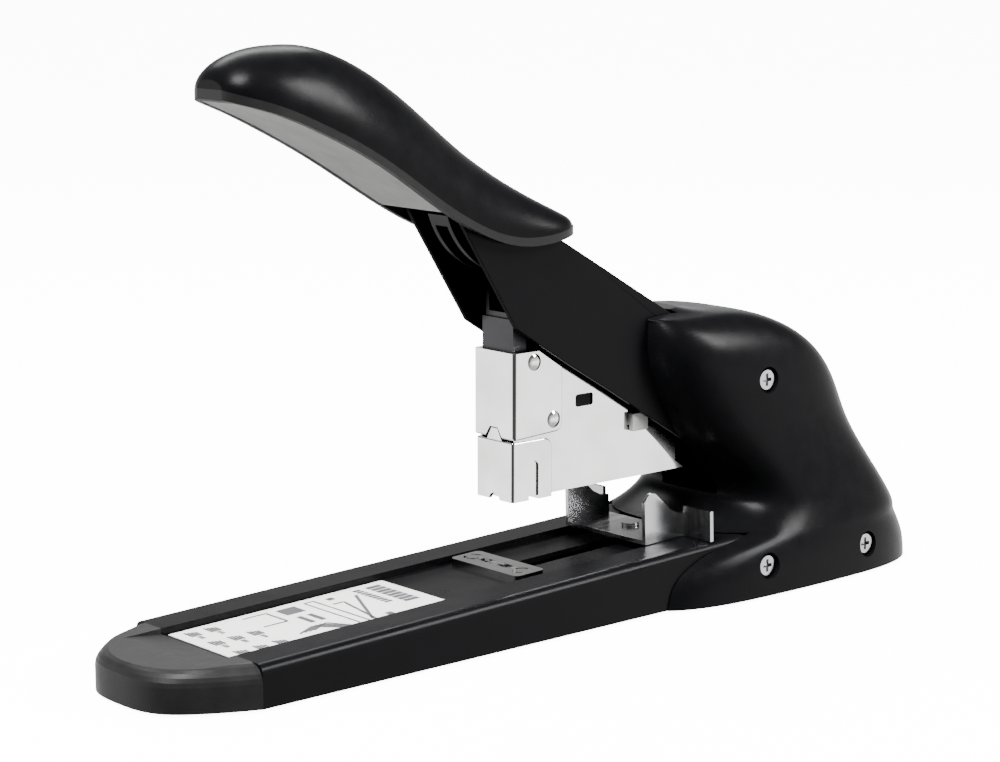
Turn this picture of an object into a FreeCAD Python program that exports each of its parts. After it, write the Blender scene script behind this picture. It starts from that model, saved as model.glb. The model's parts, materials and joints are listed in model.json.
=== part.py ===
"""Heavy-duty lever stapler with a front-loading magazine, as separate pieces.

Design frame, in mm: X = 0 is the front face of the nose and +X runs to the rear, Y = 0 is the mid-plane,
Z = 0 is the underside of the base. Every piece is then shifted by the datum cells to the part's own frame.
"""

import FreeCAD, Part
import math
import os

import Sketcher

Vec = FreeCAD.Vector
doc = FreeCAD.newDocument("LeverStapler")
nodes = []

# ---------------------------------------------------------------- driving dimensions

DIMENSIONS = [
    ("datum_x", -12.9, "shift of the nose face from the middle of the overall length"),
    ("foot_proud", 0.8, "rubber feet below the base"),
    ("base_front", -98.2, "front end of the steel channel"),
    ("base_rear", 128.0, "rear end of the steel channel"),
    ("base_width", 55.5, "outer width of the channel"),
    ("base_sheet", 2.0, "channel sheet"),
    ("top_at_nose", 14.5, "height of the channel's top under the nose"),
    ("top_rise", 0.034, "rise of the channel's top per mm to the rear"),
    ("window_half", 16.2, "half the gap between the channel's lips"),
    ("window_rear", 78.0, "rear end of that gap"),
    ("floor_sheet", 1.5, "inner floor sheet"),
    ("slot_half", 3.3, "half the width of the floor's slot"),
    ("slot_front", 8.0, "front end of the slot"),
    ("slot_rear", 60.0, "rear end of the slot"),
    ("cap_length", 24.0, "front cap beyond the channel"),
    ("anvil_front", -4.0, "front edge of the anvil"),
    ("anvil_rear", 6.5, "rear edge of the anvil"),
    ("anvil_width", 28.0, "anvil across the tool"),
    ("nose_width", 16.8, "nose wrap, outside"),
    ("wall_outer", 14.1, "magazine walls, outside"),
    ("wall_inner", 13.0, "magazine walls, inside: the staple's crown and a running gap"),
    ("guide_width", 15.2, "nose guide, outside"),
    ("nose_bottom", 33.0, "underside of the nose at rest"),
    ("wrap_bottom", 50.2, "lower edge of the nose wrap"),
    ("wrap_top", 74.1, "upper edge of the nose wrap"),
    ("wrap_depth", 17.7, "nose wrap along X"),
    ("guide_depth", 14.7, "nose guide along X"),
    ("rail_width", 11.4, "staple rail, outside"),
    ("rail_top", 47.3, "top of the rail, under the staples' crowns"),
    ("rail_front", 2.6, "front end of the rail"),
    ("rail_rear", 64.0, "rear end of the rail"),
    ("lever_width", 21.6, "lever, outside"),
    ("lever_sheet", 1.4, "lever sheet"),
    ("hinge_x", 96.0, "lever hinge"),
    ("hinge_z", 46.0, "lever hinge"),
    ("lever_pin_radius", 4.0, "lever hinge pin"),
    ("swing_x", 104.0, "magazine hinge"),
    ("swing_z", 29.0, "magazine hinge"),
    ("magazine_pin_radius", 3.0, "magazine hinge pin"),
    ("running_gap", 0.05, "radial gap of a pin in a moving part"),
    ("ram_width", 11.3, "driver ram, outside"),
    ("ram_pin_x", 10.5, "ram pin"),
    ("ram_pin_z", 91.0, "ram pin"),
    ("ram_pin_radius", 2.0, "ram pin"),
    ("cheek_inner", 23.6, "pivot frame, between its cheeks"),
    ("cheek_outer", 27.6, "pivot frame, over its cheeks"),
    ("screw_radius", 1.5, "shank of the housing screws"),
    ("head_radius", 2.85, "head of the housing screws"),
    ("recess_radius", 3.8, "recess round a housing screw"),
    ("shell_wall", 2.6, "wall of the plastic housing"),
    ("grip_wall", 2.2, "wall of the grip"),
    ("trim_height", 2.3, "height of the trim band round the grip"),
    ("panel_rear", -28.0, "rear end of the panel under the grip"),
]

sheet = doc.addObject("Spreadsheet::Sheet", "Sizes")
for row, (alias, number, meaning) in enumerate(DIMENSIONS, start=1):
    sheet.set(f"A{row}", alias)
    sheet.set(f"B{row}", str(number))
    sheet.set(f"C{row}", meaning)
    sheet.setAlias(f"B{row}", alias)
doc.recompute()


class Dim:
    """A size that carries the sheet expression it comes from, through plain arithmetic."""

    def __init__(self, number, text):
        self.number = float(number)
        self.text = text

    def __float__(self):
        return self.number

    def __add__(self, other):
        return Dim(self.number + float(other), f"({self.text} + {text_of(other)})")

    def __sub__(self, other):
        return Dim(self.number - float(other), f"({self.text} - {text_of(other)})")

    def __rsub__(self, other):
        return Dim(float(other) - self.number, f"({text_of(other)} - {self.text})")

    def __mul__(self, other):
        return Dim(self.number * float(other), f"({self.text} * {text_of(other)})")

    def __truediv__(self, other):
        return Dim(self.number / float(other), f"({self.text} / {text_of(other)})")

    def __neg__(self):
        return Dim(-self.number, f"(0 - {self.text})")

    __radd__ = __add__
    __rmul__ = __mul__


def text_of(number):
    return number.text if isinstance(number, Dim) else f"({float(number):.6f})"


class Sizes:
    """The sheet's cells by name."""

    def __getattr__(self, alias):
        return Dim(sheet.get(alias), f"Sizes.{alias}")


S = Sizes()


def bind(item, name, number):
    """Set a property, by the sheet where the number comes from it."""
    if hasattr(item, name):
        setattr(item, name, float(number))
    if isinstance(number, Dim):
        item.setExpression(name, number.text)


def top(x, below=0.0):
    """Height of the channel's sloping top at x, less a depth."""
    return S.top_at_nose + S.top_rise * x - below


# ---------------------------------------------------------------- helpers


def add_node(item, label):
    """Name a finished piece and move it from the design frame to the part's frame."""
    if item.TypeId in ("Part::Box", "Part::Cylinder"):
        item = group([item])
    doc.recompute()
    shift = FreeCAD.Placement(Vec(float(S.datum_x), 0, float(S.foot_proud)), FreeCAD.Rotation())
    item.Placement = shift.multiply(item.Placement)
    item.Label = label
    nodes.append(item)
    return item


def new_body(name):
    return doc.addObject("PartDesign::Body", name + "_body")


def sketch_on(body, plane):
    sketch = body.newObject("Sketcher::SketchObject", f"{body.Name}_{plane}_outline")
    support = next(f for f in body.Origin.OriginFeatures if f.Role == plane)
    sketch.AttachmentSupport = [(support, "")]
    sketch.MapMode = "FlatFace"
    return sketch


def pin_coordinate(sketch, kind, axis, geometry, end, coordinate):
    """Fix one coordinate of a point, by the sheet where it is an expression."""
    number = float(coordinate)
    if abs(number) < 1e-9:
        sketch.addConstraint(Sketcher.Constraint("PointOnObject", geometry, end, axis))
        return
    index = sketch.addConstraint(Sketcher.Constraint(kind, -1, 1, geometry, end, number))
    bind(sketch, f"Constraints[{index}]", coordinate)


def draw(sketch, corners):
    """Closed outline. A corner is (x, y), or (x, y, bulge point) where an arc leads to the next corner."""
    points = [Vec(float(c[0]), float(c[1]), 0) for c in corners]
    ends = []
    for i, corner in enumerate(corners):
        start, stop = points[i], points[(i + 1) % len(points)]
        if len(corner) == 3:
            edge = sketch.addGeometry(Part.Arc(start, Vec(*corner[2], 0), stop))
            sketch.addConstraint(Sketcher.Constraint("Radius", edge, sketch.Geometry[edge].Radius))
        else:
            edge = sketch.addGeometry(Part.LineSegment(start, stop))
        first = 1 if sketch.getPoint(edge, 1).isEqual(start, 1e-6) else 2
        ends.append((edge, first, 3 - first))
    for i, (edge, first, last) in enumerate(ends):
        following, follow_first, _ = ends[(i + 1) % len(ends)]
        sketch.addConstraint(Sketcher.Constraint("Coincident", edge, last, following, follow_first))
        pin_coordinate(sketch, "DistanceX", -2, edge, first, corners[i][0])
        pin_coordinate(sketch, "DistanceY", -1, edge, first, corners[i][1])


def solid_step(body, kind, sketch, length):
    """Symmetric Pad or Pocket of a sketch; a Pocket must remove material."""
    before = body.Shape.Volume if kind == "Pocket" else 0.0
    step = body.newObject(f"PartDesign::{kind}", f"{body.Name}_{kind}")
    step.Profile = sketch
    step.SideType = "Symmetric"
    bind(step, "Length", length)
    doc.recompute()
    if kind == "Pocket" and body.Shape.Volume > before - 1e-6:
        raise RuntimeError(f"{body.Name}: a pocket cuts nothing")
    return step


def add_plate(body, corners, width, plane="XZ_Plane"):
    sketch = sketch_on(body, plane)
    draw(sketch, corners)
    return solid_step(body, "Pad", sketch, width)


def cut_plate(body, corners, width, plane="XZ_Plane"):
    sketch = sketch_on(body, plane)
    draw(sketch, corners)
    return solid_step(body, "Pocket", sketch, width)


def drill(body, holes, width, plane="XZ_Plane"):
    """Round holes (x, y, radius) through the body, square to the plane."""
    sketch = sketch_on(body, plane)
    for x, y, radius in holes:
        circle = sketch.addGeometry(Part.Circle(Vec(float(x), float(y), 0), Vec(0, 0, 1), float(radius)))
        pin_coordinate(sketch, "DistanceX", -2, circle, 3, x)
        pin_coordinate(sketch, "DistanceY", -1, circle, 3, y)
        index = sketch.addConstraint(Sketcher.Constraint("Radius", circle, float(radius)))
        bind(sketch, f"Constraints[{index}]", radius)
    return solid_step(body, "Pocket", sketch, width)


def round_edges(body, radius, wanted):
    """Fillet the straight edges of the body's tip whose middle point satisfies wanted(middle, direction)."""
    tip = body.Tip
    names = []
    for i, edge in enumerate(tip.Shape.Edges, start=1):
        if edge.Curve.TypeId != "Part::GeomLine":
            continue
        middle = edge.valueAt((edge.FirstParameter + edge.LastParameter) / 2)
        if wanted(middle, edge.tangentAt(edge.FirstParameter)):
            names.append(f"Edge{i}")
    fillet = body.newObject("PartDesign::Fillet", f"{body.Name}_fillet")
    fillet.Base = (tip, names)
    fillet.Radius = radius
    doc.recompute()
    return fillet


def near(x, z, reach=0.4):
    """Picks the edges along Y that pass the point (x, z)."""
    return lambda m, d: abs(d.y) > 0.9 and abs(m.x - float(x)) < reach and abs(m.z - float(z)) < reach


def box(x, y, z):
    """Part::Box between three (low, high) pairs, bound to the sheet where they are expressions."""
    item = doc.addObject("Part::Box", "block")
    for name, (low, high) in zip(("Length", "Width", "Height"), (x, y, z)):
        bind(item, name, high - low)
    item.Placement.Base = Vec(*[float(low) for low, _ in (x, y, z)])
    for name, (low, _) in zip("xyz", (x, y, z)):
        bind(item, f"Placement.Base.{name}", low)
    return item


def rod(centre, axis, radius, length):
    """Part::Cylinder from a centre of its first face along axis."""
    item = doc.addObject("Part::Cylinder", "rod")
    bind(item, "Radius", radius)
    bind(item, "Height", length)
    turn = FreeCAD.Rotation(Vec(0, 0, 1), Vec(*axis))
    item.Placement = FreeCAD.Placement(Vec(*[float(c) for c in centre]), turn)
    for name, coordinate in zip("xyz", centre):
        bind(item, f"Placement.Base.{name}", coordinate)
    return item


def cross_rod(x, z, radius, half):
    """Cylinder across the tool, from -half to +half in Y."""
    return rod((x, -half, z), (0, 1, 0), radius, half * 2)


def fuse(items):
    result = doc.addObject("Part::MultiFuse", "joined")
    result.Shapes = items
    return result


def cut(base, tool):
    result = doc.addObject("Part::Cut", "cut")
    result.Base = base
    result.Tool = tool
    return result


def group(items):
    """Several separate solids that are one kind of fastener."""
    result = doc.addObject("Part::Compound", "group")
    result.Links = items
    return result


def feature(shape, name):
    item = doc.addObject("Part::Feature", name)
    item.Shape = shape
    return item


def prism(corners, half):
    """Solid with an outline in XZ and a half-width in Y."""
    points = [Vec(float(x), -half, float(z)) for x, z in corners]
    face = Part.Face(Part.makePolygon(points + [points[0]]))
    return face.extrude(Vec(0, 2 * half, 0))


def cylinder_y(x, z, radius, y_from, y_to):
    low = min(y_from, y_to)
    return Part.makeCylinder(radius, abs(y_to - y_from), Vec(x, low, z), Vec(0, 1, 0))


def largest_solid(shape):
    return max(shape.Solids, key=lambda s: s.Volume)


# ---------------------------------------------------------------- base


def channel_wedge(front, rear, low, below):
    """Side outline between a height and the sloping top less `below`."""
    return [(front, low), (rear, low), (rear, top(rear, below)), (front, top(front, below))]


def make_base_channel():
    body = new_body("base_channel")
    add_plate(body, channel_wedge(S.base_front, S.base_rear, 0, 0), S.base_width)
    half = float(S.base_width) / 2
    round_edges(body, 2.4, lambda m, d: abs(d.x) > 0.9 and abs(m.y) > half - 0.1 and m.z > 5)
    hollow = channel_wedge(S.base_front - 1, S.base_rear - 2, -1, S.base_sheet)
    cut_plate(body, hollow, S.base_width - 2 * S.base_sheet)
    low, high = -S.window_half, S.window_half
    front, rear = S.base_front - 1, S.window_rear
    cut_plate(body, [(front, low), (rear, low), (rear, high), (front, high)], 80, "XY_Plane")
    drill(body, [(x, z, S.screw_radius) for x, z in LOW_SCREWS], 80)
    add_node(body, "base_channel")


def make_floor_plate():
    body = new_body("floor_plate")
    front, rear = S.base_front + 0.2, S.window_rear - 0.5
    width = S.base_width - 2 * S.base_sheet
    add_plate(body, channel_wedge(front, rear, 1.5, S.base_sheet), width)
    hollow = channel_wedge(front - 2, rear + 2, 0, S.base_sheet + S.floor_sheet)
    cut_plate(body, hollow, width - 2 * S.floor_sheet)
    low, high = -S.slot_half, S.slot_half
    front, rear = S.slot_front, S.slot_rear
    cut_plate(body, [(front, low), (rear, low), (rear, high), (front, high)], 80, "XY_Plane")
    drill(body, [(x, y, S.screw_radius) for x, y in COVER_POSTS], 80, "XY_Plane")
    drill(body, [(ANVIL_MIDDLE, y, 1.6) for y in (-9.0, 9.0)], 80, "XY_Plane")
    add_node(body, "floor_plate")


def make_base_cover():
    """Plastic underside with four posts that reach the floor sheet."""
    pieces = [box((S.base_front + 0.7, S.base_rear - 2.5), (-25.6, 25.6), (0, 1.4))]
    holes = []
    for x, y in COVER_POSTS:
        reach = top(x, S.base_sheet + S.floor_sheet + 0.2)
        pieces.append(rod((x, y, 0), (0, 0, 1), 4.2, reach))
        holes.append(rod((x, y, -1), (0, 0, 1), 1.6, 20))
        holes.append(rod((x, y, -1), (0, 0, 1), 3.1, 2.4))
    add_node(cut(fuse(pieces), fuse(holes)), "base_cover")


def make_cover_screws():
    screws = []
    for x, y in COVER_POSTS:
        head = rod((x, y, 0.1), (0, 0, 1), 2.9, 1.3)
        shank = rod((x, y, 1.3), (0, 0, 1), S.screw_radius, top(x, S.base_sheet + 1.3))
        slot = box((x - 2, x + 2), (y - 0.4, y + 0.4), (0, 0.8))
        screws.append(cut(fuse([head, shank]), slot))
    add_node(group(screws), "cover_screws")


def make_feet():
    feet = []
    for x in (-88.0, 112.0):
        for y in (-18.0, 18.0):
            feet.append(box((x - 8, x + 8), (y - 5, y + 5), (-S.foot_proud, 0)))
    add_node(group(feet), "rubber_feet")


# height and draw-in of the front cap's outline, which rounds its upper rim
CAP_RIM = [(0.0, 0.0), (6.6, 0.0), (7.8, 0.17), (8.9, 0.67), (9.8, 1.45), (10.5, 2.45), (10.95, 3.6), (11.2, 4.8)]


def cap_outline(z, inset):
    """Plan of the cap: a blunt prow closed by a straight seam."""
    seam, half = float(S.base_front), float(S.base_width) / 2
    tip = seam - float(S.cap_length)
    side = [(seam, half), (seam - 6.5, half - 2.9), (seam - 13.8, half - 7.0), (tip + 2.8, half - 13.6)]
    points = [Vec(x, y - inset, z) for x, y in side]
    points[-1].x += inset
    points.append(Vec(tip + inset, 0, z))
    points += [Vec(p.x, -p.y, z) for p in reversed(points[:-1])]
    curve = Part.BSplineCurve()
    curve.interpolate(Points=points)
    return Part.Wire([curve.toShape(), Part.makeLine(points[-1], points[0])])


def make_front_cap():
    """Rounded plastic prow on the front of the channel, with a recess sloping down to the floor."""
    seam = float(S.base_front)
    tip = seam - float(S.cap_length)
    body = Part.makeLoft([cap_outline(z, inset) for z, inset in CAP_RIM], True, True)
    above = prism([(tip - 5, top(tip - 5)), (seam + 5, top(seam + 5)), (seam + 5, 40), (tip - 5, 40)], 40)
    recess = prism([(seam - 11, top(seam - 11)), (seam + 5, top(seam, S.base_sheet)), (seam + 5, 20),
                    (seam - 11, 20)], float(S.window_half))
    hollow = prism([(tip + 6, -1), (seam + 1, -1), (seam + 1, 6.5), (tip + 6, 6.5)], 12)
    add_node(feature(largest_solid(body.cut([above, recess, hollow])), "front_cap_shape"), "front_cap")


def make_label():
    body = new_body("instruction_label")
    front, rear = -96.5, -27.0
    outline = [(front, top(front, 2.0)), (rear, top(rear, 2.0)), (rear, top(rear, 1.85)), (front, top(front, 1.85))]
    add_plate(body, outline, 31)
    add_node(body, "instruction_label")


def make_anvil():
    """Clinching plate: two shallow curved beds, one for each leg, between stamped end marks."""
    body = new_body("anvil_plate")
    front, rear = S.anvil_front, S.anvil_rear
    lift = -0.2
    outline = [(front, top(front, 2.0)), (rear, top(rear, 2.0)), (rear, top(rear, lift)), (front, top(front, lift))]
    add_plate(body, outline, S.anvil_width)
    half = float(S.anvil_width) / 2
    round_edges(body, 1.6, lambda m, d: abs(d.z) > 0.9 and abs(m.y) > half - 0.1)
    for side in (-1, 1):
        outer, inner = 6.6 * side, 1.0 * side
        bed = new_body(f"anvil_bed_{side + 1}")
        add_plate(bed, [(0.3, outer), (2.5, outer), (3.1, inner), (-0.3, inner)], 60, "XY_Plane")
        depth = [(-10, top(-10, 0.5)), (20, top(20, 0.5)), (20, 30), (-10, 30)]
        keep = new_body(f"anvil_depth_{side + 1}")
        add_plate(keep, depth, 60)
        boolean = body.newObject("PartDesign::Boolean", f"anvil_groove_{side + 1}")
        common = doc.addObject("Part::Common", "bed")
        common.Base, common.Tool = bed, keep
        doc.recompute()
        groove = doc.addObject("PartDesign::Body", f"anvil_tool_{side + 1}")
        groove.BaseFeature = common
        boolean.setObjects([groove])
        boolean.Type = "Cut"
        doc.recompute()
    marks = []
    for side in (-1, 1):
        y = side * ANVIL_MARK
        disc = rod((ANVIL_MIDDLE, y, top(ANVIL_MIDDLE, 0.2)), (0, 0, 1), 2.7, 3)
        island = rod((ANVIL_MIDDLE, y, 13), (0, 0, 1), 1.8, 5)
        opening = box((ANVIL_MIDDLE - 1.1, ANVIL_MIDDLE + 1.1), sorted((y, y + side * 4)), (13, 18))
        marks.append(cut(disc, fuse([island, opening])))
    add_node(cut(body, fuse(marks)), "anvil_plate")


def make_anvil_rivets():
    rivets = []
    for y in (-9.0, 9.0):
        shank = rod((ANVIL_MIDDLE, y, 9.0), (0, 0, 1), 1.6, top(ANVIL_MIDDLE, 11.06))
        head = rod((ANVIL_MIDDLE, y, 8.0), (0, 0, 1), 2.8, 1.4)
        rivets.append(fuse([shank, head]))
    add_node(group(rivets), "anvil_rivets")


def make_pivot_frame():
    """Steel saddle: a foot on the channel's closed rear top, and two cheeks that carry both hinge pins."""
    body = new_body("pivot_frame")
    cheek = [(80, top(80)), (124, top(124)), (124, 30), (112, 52), (102, 58), (88, 66), (76, 67), (72, 60),
             (74, 54), (84, 44), (80, 24)]
    add_plate(body, cheek, S.cheek_outer)
    room = [(60, top(60, -2.0)), (130, top(130, -2.0)), (130, 90), (60, 90)]
    cut_plate(body, room, S.cheek_inner)
    drill(body, [(S.hinge_x, S.hinge_z, S.lever_pin_radius),
                 (S.swing_x, S.swing_z, S.magazine_pin_radius),
                 (*HIGH_SCREW, S.screw_radius)], 80)
    add_node(body, "pivot_frame")


def make_pins():
    add_node(cross_rod(S.hinge_x, S.hinge_z, S.lever_pin_radius, 16.6), "lever_pin")
    add_node(cross_rod(S.swing_x, S.swing_z, S.magazine_pin_radius, 16.6), "magazine_pin")
    clips = []
    for x, z, radius in ((S.hinge_x, S.hinge_z, S.lever_pin_radius), (S.swing_x, S.swing_z, S.magazine_pin_radius)):
        for y in (-15.0, 14.0):
            ring = rod((x, y, z), (0, 1, 0), radius + 2, 1.0)
            bore = rod((x, y - 1, z), (0, 1, 0), radius, 3.0)
            gap = box((x - 0.4 * radius, x + 0.4 * radius), (y - 1, y + 2), (z, z + 9))
            clips.append(cut(ring, fuse([bore, gap])))
    add_node(group(clips), "pin_clips")
    bushes = []
    for y in (-11.8, 6.55):
        tube = rod((S.swing_x, y, S.swing_z), (0, 1, 0), 4.6, 5.25)
        bore = rod((S.swing_x, y - 1, S.swing_z), (0, 1, 0), S.magazine_pin_radius, 7.0)
        bushes.append(cut(tube, bore))
    add_node(group(bushes), "magazine_bushes")


# ---------------------------------------------------------------- housing

# height, front, rear, half-width, squareness of the outline
HOUSING_LEVELS = [
    (0.0, 31.0, 148.0, 35.4, 3.6),
    (6.0, 33.0, 147.2, 35.2, 3.6),
    (11.0, 39.0, 145.3, 34.7, 3.5),
    (14.5, 50.0, 143.3, 34.1, 3.4),
    (18.0, 66.0, 141.6, 33.3, 3.4),
    (24.0, 75.0, 138.0, 31.8, 3.2),
    (34.0, 70.0, 131.5, 29.4, 3.1),
    (46.0, 58.0, 124.5, 27.3, 3.2),
    (58.0, 50.5, 118.5, 26.2, 3.4),
    (67.0, 47.5, 110.0, 25.2, 3.6),
    (74.2, 46.5, 98.0, 22.4, 3.6),
    (78.4, 46.0, 84.0, 17.6, 3.4),
    (80.8, 46.5, 64.0, 9.0, 3.0),
]


def oval_wire(z, front, rear, half, square):
    """Closed smooth outline at one height: a rounded box of the given squareness."""
    middle, reach = (front + rear) / 2, (rear - front) / 2
    points = []
    for i in range(24):
        angle = 2 * math.pi * (i + 0.5) / 24
        c, s = math.cos(angle), math.sin(angle)
        x = middle + reach * math.copysign(abs(c) ** (2 / square), c)
        y = half * math.copysign(abs(s) ** (2 / square), s)
        points.append(Vec(x, y, z))
    curve = Part.BSplineCurve()
    curve.interpolate(Points=points, PeriodicFlag=True)
    return Part.Wire([curve.toShape()])


def housing_loft(inset):
    """The housing's outer form, or the same form drawn in by a wall."""
    wires = []
    for z, front, rear, half, square in HOUSING_LEVELS:
        drop = inset if z > 0 else 0.0
        if rear - front <= 5 * inset:
            continue
        wires.append(oval_wire(z - drop, front + inset, rear - inset, half - inset, square))
    return Part.makeLoft(wires, True, False)


def make_housing():
    wall = float(S.shell_wall)
    outer = housing_loft(0.0)
    rear = float(S.base_rear)
    half = float(S.base_width) / 2
    posts, holes = [], []
    for side in (-1, 1):
        for (x, z), seat, post_end in SCREW_SEATS:
            posts.append(cylinder_y(x, z, float(S.recess_radius) + 1.4, side * post_end, side * 50))
            holes.append(cylinder_y(x, z, float(S.recess_radius), side * seat, side * 50))
            holes.append(cylinder_y(x, z, float(S.screw_radius) + 0.1, side * (post_end - 1), side * 50))
    room = [
        housing_loft(wall).cut(posts),
        Part.makeBox(80, 66, 2, Vec(58, -33, -2)),
        prism([(20, 25), (90, 25), (88, 63.5), (55.0, 82.2), (55.0, 95), (20, 95)], 11.2),
        prism([(20, -1), (rear + 0.4, -1), (rear + 0.4, top(rear, -0.4)), (20, top(20, -0.4))], half + 0.3),
    ]
    shell = outer.cut(room).cut(holes)
    split = {"left": Part.makeBox(200, 60, 120, Vec(0, 0, -5)), "right": Part.makeBox(200, 60, 120, Vec(0, -60, -5))}
    for name, space in split.items():
        add_node(feature(largest_solid(shell.common(space)), f"housing_{name}_shape"), f"housing_{name}")
    hump = Part.makeLoft([oval_wire(z, front, back, half_width, 2.6) for z, front, back, half_width in HUMP_LEVELS],
                         True, False)
    add_node(feature(largest_solid(hump.cut(outer)), "housing_spine_shape"), "housing_spine")


def make_housing_screws():
    screws = []
    for side in (-1, 1):
        for (x, z), seat, post_end in SCREW_SEATS:
            head = rod((x, side * seat, z), (0, side, 0), S.head_radius, 1.7)
            tip = seat - (post_end - SCREW_BITE)
            shank = rod((x, side * (post_end - SCREW_BITE), z), (0, side, 0), S.screw_radius, tip)
            cross = [box((x - 1.8, x + 1.8), sorted((side * (seat + 0.7), side * (seat + 2))), (z - 0.5, z + 0.5)),
                     box((x - 0.5, x + 0.5), sorted((side * (seat + 0.7), side * (seat + 2))), (z - 1.8, z + 1.8))]
            screws.append(cut(fuse([head, shank]), fuse(cross)))
    add_node(group(screws), "housing_screws")


# ---------------------------------------------------------------- paper stop


def on_slope(item):
    """Tilts a piece drawn on a level plane so that it lies on the channel's sloping top."""
    angle = -math.degrees(math.atan(float(S.top_rise)))
    doc.recompute()
    item.Placement = FreeCAD.Placement(Vec(0, 0, float(S.top_at_nose)), FreeCAD.Rotation(Vec(0, 1, 0), angle))
    return item


def make_paper_stop():
    """Bent sheet: a plate over the floor, two upright cheeks and two wings that square up the paper."""
    body = new_body("paper_stop")
    cheek = [(42.0, 0.3), (58.2, 0.3), (58.2, 6.8), (55.0, 7.2), (52.0, 8.9), (46.8, 13.9, (45.0, 14.7)),
             (43.0, 13.9), (42.0, 12.4)]
    add_plate(body, cheek, 33.0)
    cut_plate(body, [(40, 1.5), (60, 1.5), (60, 20), (40, 20)], 30.6)
    wing = new_body("paper_wing")
    add_plate(wing, [(57.0, 0.3), (58.2, 0.3), (58.2, 9.0), (57.0, 9.0)], 54.4)
    cut_plate(wing, [(56, -1), (60, -1), (60, 20), (56, 20)], 33.0)
    hole = rod((STOP_BUTTON, 0, -5), (0, 0, 1), 2.2, 10)
    add_node(on_slope(cut(fuse([body, wing]), hole)), "paper_stop")
    shoe = [box((47.0, 57.0), (-3.0, 3.0), (-4.2, 0.3)), box((45.0, 58.0), (-8.0, 8.0), (-5.6, -3.9))]
    hole = rod((STOP_BUTTON, 0, -7), (0, 0, 1), 2.2, 10)
    add_node(on_slope(cut(fuse(shoe), hole)), "stop_shoe")
    stem = rod((STOP_BUTTON, 0, -5.6), (0, 0, 1), 2.2, 7.1)
    button = rod((STOP_BUTTON, 0, 1.5), (0, 0, 1), 2.5, 0.9)
    add_node(on_slope(fuse([stem, button])), "stop_rivet")


# ---------------------------------------------------------------- lever and grip


def make_lever_arm():
    """Inverted channel: a web on top and two side plates that straddle the nose."""
    body = new_body("lever_arm")
    outline = [
        (-1.3, 81.5), (18.0, 69.6), (34.0, 60.2), (61.7, 43.3), (70.0, 37.6), (79.0, 32.5), (90.0, 34.4),
        (98.0, 35.4, (105.6, 41.5)), (106.4, 47.0), (102.0, 53.8), (20.6, 100.8), (6.0, 109.1), (-12.0, 115.9),
        (-22.0, 121.4), (-34.0, 129.6), (-46.0, 135.8), (-46.0, 132.0), (-33.0, 124.6), (-25.0, 118.4),
    ]
    add_plate(body, outline, S.lever_width)
    web = 1.7
    inside = [
        (-60, 60), (60, 20), (110, 20), (110, 46), (102.0, 53.8 - web), (20.6, 100.8 - web), (6.0, 109.1 - web),
        (-12.0, 115.9 - web), (-22.0, 121.4 - web), (-34.0, 129.6 - web), (-60, 143.0 - web),
    ]
    cut_plate(body, inside, S.lever_width - 2 * S.lever_sheet)
    drill(body, [(S.hinge_x, S.hinge_z, S.lever_pin_radius + S.running_gap)], 80)
    add_node(body, "lever_arm")
    tube = cross_rod(S.hinge_x, S.hinge_z, 5.0, S.lever_width / 2 - S.lever_sheet)
    bore = cross_rod(S.hinge_x, S.hinge_z, S.lever_pin_radius + S.running_gap, 15)
    add_node(cut(tube, bore), "lever_bush")


def make_drive_bracket():
    """Fork under the web. Its slot pushes the ram pin down and lets it creep rearwards."""
    body = new_body("drive_bracket")
    outline = [
        (-19.5, 112.5, (-14.0, 103.2)), (-5.0, 97.0), (5.6, 96.0), (5.6, 89.5), (8.0, 87.2), (15.0, 84.6),
        (18.5, 88.0), (19.5, 96.0), (14.0, 102.4), (6.0, 106.9), (-12.0, 113.7),
    ]
    add_plate(body, outline, 8.0)
    cut_plate(body, [(-30, 60), (30, 60), (30, 95.0), (-15.0, 109.5), (-30, 109.5)], 5.0)
    drill(body, BRACKET_PINS, 30)
    play = S.ram_pin_radius + 0.55
    run, fall = 3.75, -2.25
    low_x, low_z = S.ram_pin_x - 0.2, S.ram_pin_z + 0.12
    high_x, high_z = S.ram_pin_x + run, S.ram_pin_z + fall
    across_x, across_z = play * (-fall / math.hypot(run, fall)), play * (run / math.hypot(run, fall))
    slot = new_body("bracket_slot")
    add_plate(slot, [(low_x - across_x, low_z - across_z), (high_x - across_x, high_z - across_z),
                     (high_x + across_x, high_z + across_z), (low_x + across_x, low_z + across_z)], 30)
    ends = [cross_rod(low_x, low_z, play, 15), cross_rod(high_x, high_z, play, 15)]
    add_node(cut(body, fuse([slot] + ends)), "drive_bracket")
    inside = S.lever_width / 2 - S.lever_sheet
    add_node(group([cross_rod(x, z, radius, inside) for x, z, radius in BRACKET_PINS]), "bracket_pins")


# station, crest height, lower edge, half-width
GRIP_STATIONS = [
    (-91.3, 150.8, 146.2, 5.2),
    (-89.2, 153.8, 145.2, 9.3),
    (-84.0, 156.8, 143.6, 12.8),
    (-74.0, 158.6, 139.9, 15.2),
    (-62.0, 157.9, 134.4, 16.4),
    (-48.0, 152.8, 126.9, 16.4),
    (-34.0, 144.2, 118.2, 15.4),
    (-20.0, 133.6, 110.2, 14.5),
    (-6.0, 124.2, 104.8, 14.0),
    (8.0, 116.5, 103.8, 13.8),
    (16.5, 112.3, 104.9, 12.4),
    (21.8, 109.6, 105.1, 6.0),
]


def dome_wire(x, crest, foot, half):
    """Half-round section across the grip, closed by a straight foot."""
    arch = []
    for i in range(9):
        angle = math.pi * i / 8
        arch.append(Vec(x, half * math.cos(angle), foot + (crest - foot) * math.sin(angle)))
    curve = Part.BSplineCurve()
    curve.interpolate(Points=arch)
    return Part.Wire([curve.toShape(), Part.makeLine(arch[-1], arch[0])])


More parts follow.
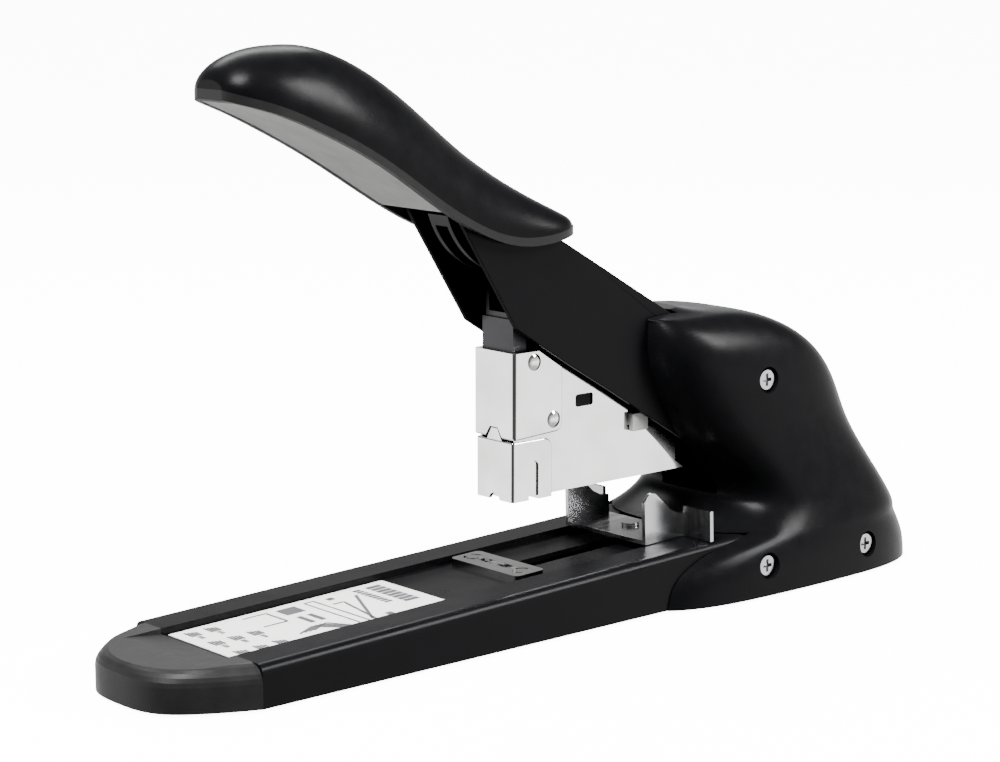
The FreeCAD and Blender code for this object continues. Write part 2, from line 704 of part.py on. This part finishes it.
def band_wire(x, low, high, half):
    points = [Vec(x, -half, low), Vec(x, half, low), Vec(x, half, high), Vec(x, -half, high)]
    return Part.makePolygon(points + [points[0]])


def make_grip():
    wall, band = float(S.grip_wall), float(S.trim_height)
    outer = Part.makeLoft([dome_wire(x, c, low + band, h) for x, c, low, h in GRIP_STATIONS], True, False)
    inner_stations = [s for s in GRIP_STATIONS if s[3] > 8]
    hollow = Part.makeLoft(
        [dome_wire(x, c - wall, low + band - 0.2, h - wall) for x, c, low, h in inner_stations], True, False)
    add_node(feature(largest_solid(outer.cut(hollow)), "grip_shell_shape"), "grip_shell")
    ring = Part.makeLoft([band_wire(x, low, low + band, h) for x, c, low, h in GRIP_STATIONS], True, False)
    inside = Part.makeLoft(
        [band_wire(x, low - 1, low + band + 1, h - wall) for x, c, low, h in inner_stations], True, False)
    add_node(feature(largest_solid(ring.cut(inside)), "grip_trim_shape"), "grip_trim")
    rear = float(S.panel_rear)
    panel = Part.makeLoft([band_wire(x, low + 0.2, low + band, h - wall - 0.1) for x, c, low, h in inner_stations],
                          True, False)
    front_part = panel.common(Part.makeBox(rear + 120, 60, 80, Vec(-120, -30, 90)))
    add_node(feature(largest_solid(front_part), "grip_underside_shape"), "grip_underside")
    core = new_body("grip_core")
    add_plate(core, [(-46.0, 135.6), (-62.0, 144.5), (-80.0, 148.6), (-80.0, 145.6), (-62.0, 138.6),
                     (-46.0, 130.6)], 14)
    add_node(core, "grip_core")


# ---------------------------------------------------------------- magazine


def make_magazine_body():
    """Bright walls of the magazine, with a window and a step for the release catch."""
    body = new_body("magazine_body")
    outline = [
        (1.45, S.nose_bottom + 0.9), (60.0, S.nose_bottom + 0.9), (66.0, S.nose_bottom + 0.9),
        (61.0, 37.4), (54.0, 44.0), (50.6, 47.0), (50.6, 48.6), (43.6, 48.6), (43.6, 54.2), (36.0, 58.6),
        (17.7, 69.8), (10.5, 74.0), (1.45, 74.0),
    ]
    add_plate(body, outline, S.wall_outer)
    cut_plate(body, [(-5, 20), (80, 20), (80, 90), (-5, 90)], S.wall_inner)
    cut_plate(body, [(23.7, 56.6), (30.3, 56.6), (30.3, 60.1), (23.7, 60.1)], 40)
    round_edges(body, 0.8, lambda m, d: abs(d.y) > 0.9 and 23 < m.x < 31 and 56 < m.z < 61)
    drill(body, [(x, z, NOSE_RIVET_RADIUS) for x, z in NOSE_RIVETS], 40)
    web = new_body("magazine_web")
    low = S.ram_pin_z - 40.4
    add_plate(web, [(19.0, low), (43.0, low), (43.0, low + 1), (19.0, low + 1)], S.wall_inner)
    add_node(fuse([body, web]), "magazine_body")


def make_magazine_carrier():
    """Black inner arms that join the bright walls to the rear hinge."""
    body = new_body("magazine_carrier")
    outline = [
        (20.0, 51.8), (43.2, 51.8), (43.2, 53.0), (54.0, 53.0), (54.0, 49.5), (68.0, 49.5), (75.0, 41.0),
        (96.0, 24.0), (104.0, 20.9, (109.8, 23.2)), (112.1, 29.0), (108.5, 36.0), (100.0, 37.4), (88.0, 38.2),
        (78.0, 46.0), (60.0, 56.5), (44.0, 56.4), (36.0, 57.6), (20.0, 66.6),
    ]
    add_plate(body, outline, S.wall_inner)
    cut_plate(body, [(0, 0), (130, 0), (130, 90), (0, 90)], S.wall_inner - 2.4)
    drill(body, [(S.swing_x, S.swing_z, S.magazine_pin_radius + S.running_gap)], 40)
    link = cross_rod(83.0, 37.8, 2.0, S.wall_inner / 2 - 1.2)
    add_node(fuse([body, link]), "magazine_carrier")


def make_nose_wrap():
    """Sheet bent round the top of the nose, with a notch for the guide's tab."""
    body = new_body("nose_wrap")
    bottom, crown, depth = S.wrap_bottom, S.wrap_top, S.wrap_depth
    add_plate(body, [(0, bottom), (depth, bottom + 1.0), (depth, 68.4), (9.0, crown), (0, crown)],
              S.nose_width)
    round_edges(body, 2.4, near(depth, bottom + 1.0))
    half = float(S.nose_width) / 2
    round_edges(body, 1.2, lambda m, d: abs(d.z) > 0.9 and abs(m.y) > half - 0.1 and m.x < 0.1)
    round_edges(body, 0.5, lambda m, d: abs(d.z) > 0.9 and abs(m.y) > half - 0.1 and m.x > 10)
    cut_plate(body, [(1.35, 40), (30, 40), (30, 90), (1.35, 90)], S.wall_outer)
    notch = [(-3.4, 45), (3.4, 45), (3.4, bottom + 0.3), (1.6, bottom + 3.0), (-1.6, bottom + 3.0),
             (-3.4, bottom + 0.3)]
    cut_plate(body, notch, 2.7, "YZ_Plane")
    drill(body, [(x, z, NOSE_RIVET_RADIUS) for x, z in NOSE_RIVETS], 40)
    add_node(body, "nose_wrap")


def make_nose_rivets():
    rivets = []
    for side in (-1, 1):
        for x, z in NOSE_RIVETS:
            shank = rod((x, side * 6.5, z), (0, side, 0), NOSE_RIVET_RADIUS, 1.9)
            dome = doc.addObject("Part::Sphere", "dome")
            dome.Radius = 4.9
            dome.Placement.Base = Vec(x, side * (8.4 + 0.6 - 4.9), z)
            outside = box((x - 3, x + 3), sorted((side * 8.4, side * 10)), (z - 3, z + 3))
            head = doc.addObject("Part::Common", "head")
            head.Base, head.Tool = dome, outside
            rivets.append(fuse([shank, head]))
    add_node(group(rivets), "nose_rivets")


def make_nose_guide():
    """Lower nose plate: it closes the staple channel and comes out with the rail."""
    body = new_body("nose_guide")
    low, high, depth = S.nose_bottom, S.wrap_bottom - 0.6, S.guide_depth
    add_plate(body, [(0.2, low), (depth, low), (depth, high), (0.2, high)], S.guide_width)
    round_edges(body, 3.0, near(depth, high))
    half = float(S.guide_width) / 2
    round_edges(body, 0.9, lambda m, d: abs(d.z) > 0.9 and abs(m.y) > half - 0.1 and m.x < 0.3)
    round_edges(body, 0.45, lambda m, d: abs(d.z) > 0.9 and abs(m.y) > half - 0.1 and m.x > 10)
    inner = S.wall_outer + 2 * S.running_gap
    cut_plate(body, [(1.35, low + 0.8), (30, low + 0.8), (30, 60), (1.35, 60)], inner)
    cut_plate(body, [(1.35, low - 1), (3.0, low - 1), (3.0, 60), (1.35, 60)], inner)
    notch = [(-2.2, 30), (2.2, 30), (2.2, low, (0.0, 34.8)), (-2.2, low)]
    cut_plate(body, notch, 2.7, "YZ_Plane")
    slot = [(6.1, 30), (9.6, 30), (9.6, 42.4, (7.85, 43.9)), (6.1, 42.4)]
    cut_plate(body, slot, 40)
    tab = new_body("guide_tab")
    add_plate(tab, [(-3.0, high), (3.0, high), (1.2, S.wrap_bottom + 2.6), (-1.2, S.wrap_bottom + 2.6)],
              2.7, "YZ_Plane")
    cut_plate(tab, [(-5, 40), (0.2, 40), (0.2, 60), (-5, 60)], 20)
    add_node(fuse([body, tab]), "nose_guide")


def make_staple_rail():
    """Inverted channel that the staples straddle, with a slot for the follower's stem and a closed rear end."""
    body = new_body("staple_rail")
    front, rear, low, high = S.rail_front, S.rail_rear, S.nose_bottom + 0.8, S.rail_top
    add_plate(body, [(front, low), (rear, low), (rear, high), (front, high)], S.rail_width)
    cut_plate(body, [(front - 1, 30), (rear - 1.2, 30), (rear - 1.2, high - 0.8),
                     (front - 1, high - 0.8)], S.rail_width - 1.6)
    cut_plate(body, [(27.0, -1.6), (60.0, -1.6), (60.0, 1.6), (27.0, 1.6)], 200, "XY_Plane")
    end_cap = new_body("rail_end")
    add_plate(end_cap, [(front + 0.4, low), (front + 1.6, low), (front + 1.6, 46.4),
                        (front + 0.4, 46.4)], S.rail_width - 1.6)
    add_node(fuse([body, end_cap]), "staple_rail")
    add_node(rod((S.rail_front + 1.6, 0, ROD_HEIGHT), (1, 0, 0), ROD_RADIUS,
                 S.rail_rear - 1.2 - (S.rail_front + 1.6)), "follower_rod")


def make_staple_strip():
    body = new_body("staple_strip")
    low, crown = S.nose_bottom + 1.1, S.rail_top + 0.7
    add_plate(body, [(S.rail_front, low), (FOLLOWER_FRONT - 0.05, low), (FOLLOWER_FRONT - 0.05, crown),
                     (S.rail_front, crown)], 12.9)
    cut_plate(body, [(-5, 20), (50, 20), (50, S.rail_top), (-5, S.rail_top)], 11.6)
    add_node(body, "staple_strip")


def make_follower():
    """Saddle that pushes the staples forward, hung on the rod by a stem through the rail's slot."""
    front, rear = FOLLOWER_FRONT, FOLLOWER_FRONT + 9.5
    body = new_body("staple_follower")
    add_plate(body, [(front, 37.0), (rear, 37.0), (rear, 48.4), (front, 48.4)], 12.9)
    cut_plate(body, [(front - 1, 30), (rear + 1, 30), (rear + 1, S.rail_top + S.running_gap),
                     (front - 1, S.rail_top + S.running_gap)], S.rail_width + 2 * S.running_gap)
    stem = box((front + 1, rear - 1), (-1.2, 1.2), (44.0, 47.6))
    block = box((front + 1, rear), (-4.5, 4.5), (36.5, 46.1))
    bore = rod((front - 1, 0, ROD_HEIGHT), (1, 0, 0), ROD_RADIUS + S.running_gap, 20)
    add_node(cut(fuse([body, stem, block]), bore), "staple_follower")
    start = rear + 0.45
    coil = Part.makeHelix(2.4, float(S.rail_rear) - 1.7 - start, 2.7)
    add_node(feature(spring_solid(coil, Vec(start, 0, ROD_HEIGHT), Vec(1, 0, 0), 2.7, 0.4), "coil_shape"),
             "follower_spring")


def spring_solid(helix, start, axis, radius, wire_radius):
    """Round wire swept along a helix that is then turned to lie along axis."""
    section = Part.Wire([Part.makeCircle(wire_radius, Vec(radius, 0, 0), Vec(0, 1, 0))])
    swept = Part.Wire(helix.Edges).makePipeShell([section], True, True)
    solid = swept if swept.Solids else Part.Solid(swept)
    solid.Placement = FreeCAD.Placement(start, FreeCAD.Rotation(Vec(0, 0, 1), axis))
    return solid


def make_return_spring():
    """Torsion coil round the lever's bush."""
    turns_length = 12.0
    coil = Part.makeHelix(2.3, turns_length, 6.3)
    start = Vec(float(S.hinge_x), -turns_length / 2, float(S.hinge_z))
    add_node(feature(spring_solid(coil, start, Vec(0, 1, 0), 6.3, 0.9), "torsion_shape"), "return_spring")


def make_release_catch():
    """Plastic catch across the magazine, worked by a small pad on either side."""
    bar = box((44.0, 50.0), (-7.4, 7.4), (48.9, 52.4))
    pads = [box((44.0, 50.0), (7.35, 8.9), (47.4, 52.4)), box((44.0, 50.0), (-8.9, -7.35), (47.4, 52.4))]
    add_node(fuse([bar] + pads), "release_catch")


# ---------------------------------------------------------------- ram


def make_ram():
    """Folded steel ram: a front plate with two cheeks that carry the ram pin."""
    body = new_body("driver_ram")
    outline = [
        (2.25, 65.5), (6.8, 65.5), (6.8, 78.0), (15.0, 85.5), (15.0, 92.0, (13.6, 95.0)), (10.5, 96.0),
        (9.0, 96.0, (4.4, 93.6)), (2.25, 88.0),
    ]
    add_plate(body, outline, S.ram_width)
    cut_plate(body, [(3.6, 60), (30, 60), (30, 99), (3.6, 99)], 8.8)
    cut_plate(body, [(0, 84.5), (5, 84.5), (5, 99), (0, 99)], 8.8)
    drill(body, [(S.ram_pin_x, S.ram_pin_z, S.ram_pin_radius)], 40)
    add_node(body, "driver_ram")
    blade = box((1.45, 2.25), (-6.3, 6.3), (49.9, 83.0))
    add_node(blade, "driver_blade")
    add_node(cross_rod(S.ram_pin_x, S.ram_pin_z, S.ram_pin_radius, 6.2), "ram_pin")


# ---------------------------------------------------------------- places shared by several pieces

LOW_SCREWS = [(73.5, 8.5), (116.0, 8.0)]
HIGH_SCREW = (81.0, 60.0)
SCREW_SEATS = [((73.5, 8.5), 32.0, 28.2), ((116.0, 8.0), 31.5, 28.2), ((81.0, 60.0), 23.6, 14.0)]
SCREW_BITE = 1.8
COVER_POSTS = [(-78.0, -19.5), (-78.0, 19.5), (66.0, -19.5), (66.0, 19.5)]
ANVIL_MIDDLE = 1.25
ANVIL_MARK = 10.2
STOP_BUTTON = 52.0
HUMP_LEVELS = [(30.0, 112.0, 131.0, 9.0), (42.0, 106.0, 128.5, 12.0), (54.0, 100.0, 124.0, 13.5),
               (63.0, 92.0, 118.0, 13.5), (69.0, 86.0, 110.5, 11.5), (73.0, 84.0, 101.0, 8.0)]
BRACKET_PINS = [(-1.0, 104.0, 1.8), (15.0, 99.4, 1.4)]
NOSE_RIVETS = [(7.3, 71.2), (14.4, 54.6)]
NOSE_RIVET_RADIUS = 1.5
FOLLOWER_FRONT = 30.0
ROD_HEIGHT = 41.0
ROD_RADIUS = 1.2


def write_parts():
    doc.recompute()
    for item in doc.Objects:
        if "Invalid" in item.State or "Error" in item.State:
            raise RuntimeError(f"{item.Label} failed: {item.State}")
    os.makedirs("parts", exist_ok=True)
    for item in nodes:
        if item.Shape.isNull() or not item.Shape.isValid():
            raise RuntimeError(f"{item.Label} has no valid shape")
        item.Shape.exportStep(f"parts/{item.Label}.step")


make_base_channel()
make_floor_plate()
make_base_cover()
make_cover_screws()
make_feet()
make_front_cap()
make_label()
make_anvil()
make_anvil_rivets()
make_pivot_frame()
make_pins()
make_housing()
make_housing_screws()
make_paper_stop()
make_lever_arm()
make_drive_bracket()
make_grip()
make_magazine_body()
make_magazine_carrier()
make_nose_wrap()
make_nose_rivets()
make_nose_guide()
make_staple_rail()
make_staple_strip()
make_follower()
make_return_spring()
make_release_catch()
make_ram()
write_parts()
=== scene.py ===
"""Heavy-duty lever stapler: looks, camera and light. All lengths in metres, in the part's own frame."""
import json
import math

import bpy
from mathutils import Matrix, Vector


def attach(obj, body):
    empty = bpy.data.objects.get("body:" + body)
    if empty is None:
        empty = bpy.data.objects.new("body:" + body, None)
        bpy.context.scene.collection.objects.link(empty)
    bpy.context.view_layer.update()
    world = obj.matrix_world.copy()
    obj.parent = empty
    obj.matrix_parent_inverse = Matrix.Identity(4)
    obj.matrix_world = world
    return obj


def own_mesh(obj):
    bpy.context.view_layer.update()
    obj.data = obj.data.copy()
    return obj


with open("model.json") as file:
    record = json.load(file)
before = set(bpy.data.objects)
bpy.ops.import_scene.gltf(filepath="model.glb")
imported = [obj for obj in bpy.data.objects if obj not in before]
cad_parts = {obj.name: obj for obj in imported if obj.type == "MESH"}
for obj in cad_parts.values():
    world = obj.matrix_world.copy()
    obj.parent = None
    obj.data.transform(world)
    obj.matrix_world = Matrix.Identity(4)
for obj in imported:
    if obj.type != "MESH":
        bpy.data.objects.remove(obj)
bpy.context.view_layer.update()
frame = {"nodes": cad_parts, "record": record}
NODES = frame["nodes"]
MM = 0.001
# shift from the nose's datum to the part's frame
DATUM = Vector((-12.9, 0.0, 0.8)) * MM
EDGE_WIDTH = 0.18 * MM
INK_THICKNESS = 0.05 * MM


def at(x, y, z):
    """A point given in mm from the nose's datum."""
    return Vector((x, y, z)) * MM + DATUM


# ---------------------------------------------------------------- materials


def material(name, color, metal=0.0, rough=0.4, spread=0.08, grain=400.0, bump=0.0, shine=0.5, tint=0.12,
             stretch=(1, 1, 1)):
    """Procedural finish: noise varies the colour and the roughness, and a fine noise gives the grain."""
    made = bpy.data.materials.new(name)
    made.use_nodes = True
    tree = made.node_tree
    shader = tree.nodes["Principled BSDF"]
    shader.inputs["Metallic"].default_value = metal
    shader.inputs["Specular IOR Level"].default_value = shine
    where = tree.nodes.new("ShaderNodeTexCoord")
    scale = tree.nodes.new("ShaderNodeMapping")
    scale.inputs["Scale"].default_value = stretch
    tree.links.new(where.outputs["Object"], scale.inputs["Vector"])
    broad = tree.nodes.new("ShaderNodeTexNoise")
    broad.inputs["Scale"].default_value = grain / 12
    broad.inputs["Detail"].default_value = 6.0
    fine = tree.nodes.new("ShaderNodeTexNoise")
    fine.inputs["Scale"].default_value = grain
    fine.inputs["Detail"].default_value = 3.0
    for noise in (broad, fine):
        tree.links.new(scale.outputs["Vector"], noise.inputs["Vector"])
    shade = tree.nodes.new("ShaderNodeValToRGB")
    shade.color_ramp.elements[0].position = 0.3
    shade.color_ramp.elements[1].position = 0.7
    shade.color_ramp.elements[0].color = (*[c * (1 - tint) for c in color], 1)
    shade.color_ramp.elements[1].color = (*[min(1.0, c * (1 + tint)) for c in color], 1)
    tree.links.new(broad.outputs["Fac"], shade.inputs["Fac"])
    tree.links.new(shade.outputs["Color"], shader.inputs["Base Color"])
    gloss = tree.nodes.new("ShaderNodeMapRange")
    gloss.inputs["From Min"].default_value = 0.3
    gloss.inputs["From Max"].default_value = 0.7
    gloss.inputs["To Min"].default_value = max(0.02, rough - spread)
    gloss.inputs["To Max"].default_value = rough + spread
    tree.links.new(broad.outputs["Fac"], gloss.inputs["Value"])
    tree.links.new(gloss.outputs["Result"], shader.inputs["Roughness"])
    if bump:
        relief = tree.nodes.new("ShaderNodeBump")
        relief.inputs["Strength"].default_value = bump
        relief.inputs["Distance"].default_value = 0.0002
        tree.links.new(fine.outputs["Fac"], relief.inputs["Height"])
        tree.links.new(relief.outputs["Normal"], shader.inputs["Normal"])
    return made


FINISHES = {
    "black_plastic": material("black_plastic", (0.003, 0.003, 0.0035), rough=0.3, spread=0.03, grain=2600,
                              bump=0.1, shine=0.05),
    "grey_plastic": material("grey_plastic", (0.013, 0.0125, 0.0125), rough=0.42, spread=0.04, grain=2400,
                             bump=0.15, shine=0.12),
    "light_plastic": material("light_plastic", (0.46, 0.46, 0.45), rough=0.5, spread=0.05, grain=2000,
                              bump=0.1, shine=0.3),
    "black_steel": material("black_steel", (0.003, 0.003, 0.0035), rough=0.3, spread=0.04, grain=1200,
                            bump=0.05, shine=0.05),
    "bright_steel": material("bright_steel", (0.8, 0.8, 0.79), metal=1.0, rough=0.09, spread=0.05, grain=700,
                             bump=0.015, tint=0.17),
    "dark_steel": material("dark_steel", (0.05, 0.05, 0.052), metal=1.0, rough=0.38, spread=0.08, grain=900,
                           bump=0.05),
    "pin_steel": material("pin_steel", (0.42, 0.42, 0.43), metal=1.0, rough=0.2, spread=0.06, grain=900,
                          bump=0.03, stretch=(1, 6, 1)),
    "label_film": material("label_film", (0.8, 0.8, 0.78), rough=0.45, spread=0.04, grain=500, tint=0.03),
    "foot_rubber": material("foot_rubber", (0.02, 0.02, 0.02), rough=0.75, spread=0.05, grain=1500, bump=0.2),
}
LABEL_INK = material("label_ink", (0.05, 0.05, 0.055), rough=0.5, spread=0.04, grain=900, tint=0.05)


def dress(obj, name):
    """Give a piece or a CAD node one of the record's finishes."""
    obj.data.materials.clear()
    obj.data.materials.append(FINISHES[name])


def bevel(obj, width, segments=2, angle=35):
    """Soft edges without changing the CAD mesh."""
    weld = obj.modifiers.new("weld", "WELD")
    weld.merge_threshold = 2e-6
    edge = obj.modifiers.new("bevel", "BEVEL")
    edge.width = width
    edge.segments = segments
    edge.limit_method = "ANGLE"
    edge.angle_limit = math.radians(angle)
    shading = obj.modifiers.new("shading", "WEIGHTED_NORMAL")
    shading.keep_sharp = True
    shading.weight = 100


for row in frame["record"]["subparts"]:
    dress(NODES[row["node"]], row["material_slot"])

for name in ("lever_arm", "paper_stop", "release_catch"):
    bevel(NODES[name], EDGE_WIDTH)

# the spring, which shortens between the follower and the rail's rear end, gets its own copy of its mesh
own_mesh(NODES["follower_spring"])

# ---------------------------------------------------------------- label


class Print:
    """Flat marks on the label. u runs rearwards from its front edge and v across it, in mm."""

    FRONT, RISE, LEVEL = -96.5, 0.034, 12.71

    def __init__(self):
        self.points = []
        self.faces = []

    def patch(self, corners):
        first = len(self.points)
        for u, v in corners:
            x = self.FRONT + u
            self.points.append(at(x, v, self.LEVEL + self.RISE * x))
        self.faces.append(tuple(range(first, first + len(corners))))

    def block(self, u, v, long, wide):
        self.patch([(u, v), (u + long, v), (u + long, v + wide), (u, v + wide)])

    def line(self, start, stop, thick=0.5):
        run, rise = stop[0] - start[0], stop[1] - start[1]
        length = math.hypot(run, rise)
        du, dv = -rise / length * thick / 2, run / length * thick / 2
        self.patch([(start[0] - du, start[1] - dv), (stop[0] - du, stop[1] - dv),
                    (stop[0] + du, stop[1] + dv), (start[0] + du, start[1] + dv)])

    def path(self, corners, thick=0.5):
        for start, stop in zip(corners, corners[1:]):
            self.line(start, stop, thick)

    def finish(self, name):
        mesh = bpy.data.meshes.new(name)
        mesh.from_pydata(self.points, [], self.faces)
        mesh.materials.append(LABEL_INK)
        obj = bpy.data.objects.new(name, mesh)
        bpy.context.scene.collection.objects.link(obj)
        thickness = obj.modifiers.new("thickness", "SOLIDIFY")
        thickness.thickness = INK_THICKNESS
        thickness.offset = 1.0
        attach(obj, "base")


def print_label():
    ink = Print()
    # rows of short bars where a heading and a line of text would be
    for step in range(8):
        ink.block(61.4, 10.9 - 2.3 * step, 4.6, 1.7)
    for step in range(9):
        ink.block(57.0, 11.4 - 1.7 * step, 2.3, 1.1)
    # a stapler seen from the side
    ink.path([(41.0, 12.5), (41.0, -13.0), (44.0, -13.0), (44.0, 12.5), (41.0, 12.5)])
    ink.path([(45.5, -11.0), (55.5, 9.0)], 0.9)
    ink.path([(46.0, -12.0), (49.5, 6.5), (46.0, 6.5)], 0.7)
    ink.block(50.5, -11.5, 2.0, 2.0)
    ink.block(47.5, 10.0, 2.0, 2.0)
    # a size plate, two text stubs and a stack of sheets
    ink.block(31.5, 7.0, 6.0, 5.4)
    ink.block(35.4, -2.6, 1.5, 6.6)
    ink.block(32.0, -2.6, 1.5, 6.6)
    for step in range(4):
        ink.path([(24.0 + 1.5 * step, -8.5), (30.0 + 1.5 * step, -5.5), (36.0 + 0.8 * step, -12.5)], 0.7)
    # an open staple
    ink.path([(21.0, 12.5), (28.5, 12.5), (28.5, 3.0), (21.0, 3.0)], 0.6)
    # sheet counts: three pairs of small stacks, each with a text stub
    for row, u in enumerate((3.0, 9.0, 15.0)):
        for v in (-12.5, -1.5, 9.0):
            if row == 2 and v > 0:
                continue
            for sheet in range(4):
                ink.block(u + 0.85 * sheet, v, 0.6, 4.2 - 0.4 * sheet)
            for bar in range(3):
                ink.block(u + 0.9, v - 1.2 - 0.9 * bar, 1.3, 0.5)
    ink.finish("label_print")


print_label()

# ---------------------------------------------------------------- stage, camera and light

FLOOR_REACH = 6
FLOOR_GLOW = 12.0
# height of the direction and grey level of the surround
SURROUND = ((-1.0, 0.16), (-0.45, 0.3), (-0.25, 0.85), (-0.1, 0.9), (0.04, 0.45), (0.2, 0.3), (0.32, 0.05),
            (1.0, 0.04))
BAND_STRENGTH = 3.0
# the dark gap: its direction, the cosines at its rim and core, and what is left of the light there
GAP_DIRECTION = (-0.753, -0.658, 0.0)
GAP_RIM, GAP_CORE, GAP_LEVEL = 0.35, 0.8, 0.03
# name, place, aim, width, height, watts
LAMPS = (
    ("key", (-0.7, -0.25, 1.2), (-0.02, 0, 0.06), 0.6, 0.6, 70),
    ("side", (0.9, -1.0, 0.9), (0.05, 0, 0.06), 0.35, 0.7, 50),
    ("back", (0.5, 1.1, 1.1), (0.03, 0, 0.08), 1.2, 0.4, 16),
)
AZIMUTH, ELEVATION = math.radians(41.1), math.radians(10.22)
LENS, SENSOR = 93.0, 36.0
VIEWPOINT = at(-451.6, -520.3, 190.0)


def make_floor():
    """Pale ground that glows, so that it stays white, but neither lights the object nor shows in its gloss."""
    mesh = bpy.data.meshes.new("floor")
    reach = FLOOR_REACH
    mesh.from_pydata([(-reach, -reach, 0), (reach, -reach, 0), (reach, reach, 0), (-reach, reach, 0)], [],
                     [(0, 1, 2, 3)])
    floor = bpy.data.objects.new("floor", mesh)
    bpy.context.scene.collection.objects.link(floor)
    paint = material("floor_white", (0.9, 0.9, 0.9), rough=0.6, spread=0.02, grain=30, tint=0.003)
    glow = paint.node_tree.nodes["Principled BSDF"]
    glow.inputs["Emission Color"].default_value = (1, 1, 1, 1)
    glow.inputs["Emission Strength"].default_value = FLOOR_GLOW
    mesh.materials.append(paint)
    floor.visible_glossy = False
    floor.visible_diffuse = False


def make_light(name, place, aim, width, height, watts):
    lamp = bpy.data.lights.new(name, "AREA")
    lamp.shape = "RECTANGLE"
    lamp.size = width
    lamp.size_y = height
    lamp.energy = watts
    holder = bpy.data.objects.new(name, lamp)
    bpy.context.scene.collection.objects.link(holder)
    holder.location = place
    holder.rotation_euler = (Vector(aim) - Vector(place)).to_track_quat("-Z", "Y").to_euler()


def make_world():
    """Studio surround: bright near the horizon, darker above and below, with a dark gap behind the camera."""
    world = bpy.data.worlds.new("studio")
    bpy.context.scene.world = world
    world.use_nodes = True
    tree = world.node_tree
    where = tree.nodes.new("ShaderNodeTexCoord")
    split = tree.nodes.new("ShaderNodeSeparateXYZ")
    ramp = tree.nodes.new("ShaderNodeValToRGB")
    shift = tree.nodes.new("ShaderNodeMapRange")
    shift.inputs["From Min"].default_value = -1.0
    tree.links.new(where.outputs["Generated"], split.inputs["Vector"])
    tree.links.new(split.outputs["Z"], shift.inputs["Value"])
    tree.links.new(shift.outputs["Result"], ramp.inputs["Fac"])
    stops = ramp.color_ramp.elements
    for height, level in SURROUND:
        stop = stops.new((height + 1) / 2) if abs(height) < 1 else stops[0 if height < 0 else -1]
        stop.color = (level, level, level, 1)
    toward = tree.nodes.new("ShaderNodeVectorMath")
    toward.operation = "DOT_PRODUCT"
    toward.inputs[1].default_value = GAP_DIRECTION
    tree.links.new(where.outputs["Generated"], toward.inputs[0])
    gap = tree.nodes.new("ShaderNodeMapRange")
    gap.interpolation_type = "SMOOTHSTEP"
    gap.inputs["From Min"].default_value = GAP_RIM
    gap.inputs["From Max"].default_value = GAP_CORE
    gap.inputs["To Min"].default_value = 1.0
    gap.inputs["To Max"].default_value = GAP_LEVEL
    tree.links.new(toward.outputs["Value"], gap.inputs["Value"])
    dim = tree.nodes.new("ShaderNodeMath")
    dim.operation = "MULTIPLY"
    dim.inputs[1].default_value = BAND_STRENGTH
    tree.links.new(gap.outputs["Result"], dim.inputs[0])
    tree.links.new(ramp.outputs["Color"], tree.nodes["Background"].inputs["Color"])
    tree.links.new(dim.outputs["Value"], tree.nodes["Background"].inputs["Strength"])


make_floor()
make_world()
for lamp_row in LAMPS:
    make_light(*lamp_row)

forward = Vector((math.cos(ELEVATION) * math.sin(AZIMUTH), math.cos(ELEVATION) * math.cos(AZIMUTH),
                  -math.sin(ELEVATION)))
lens = bpy.data.cameras.new("camera")
lens.lens = LENS
lens.sensor_width = SENSOR
camera = bpy.data.objects.new("camera", lens)
bpy.context.scene.collection.objects.link(camera)
camera.location = VIEWPOINT
camera.rotation_euler = forward.to_track_quat("-Z", "Y").to_euler()
bpy.context.scene.camera = camera
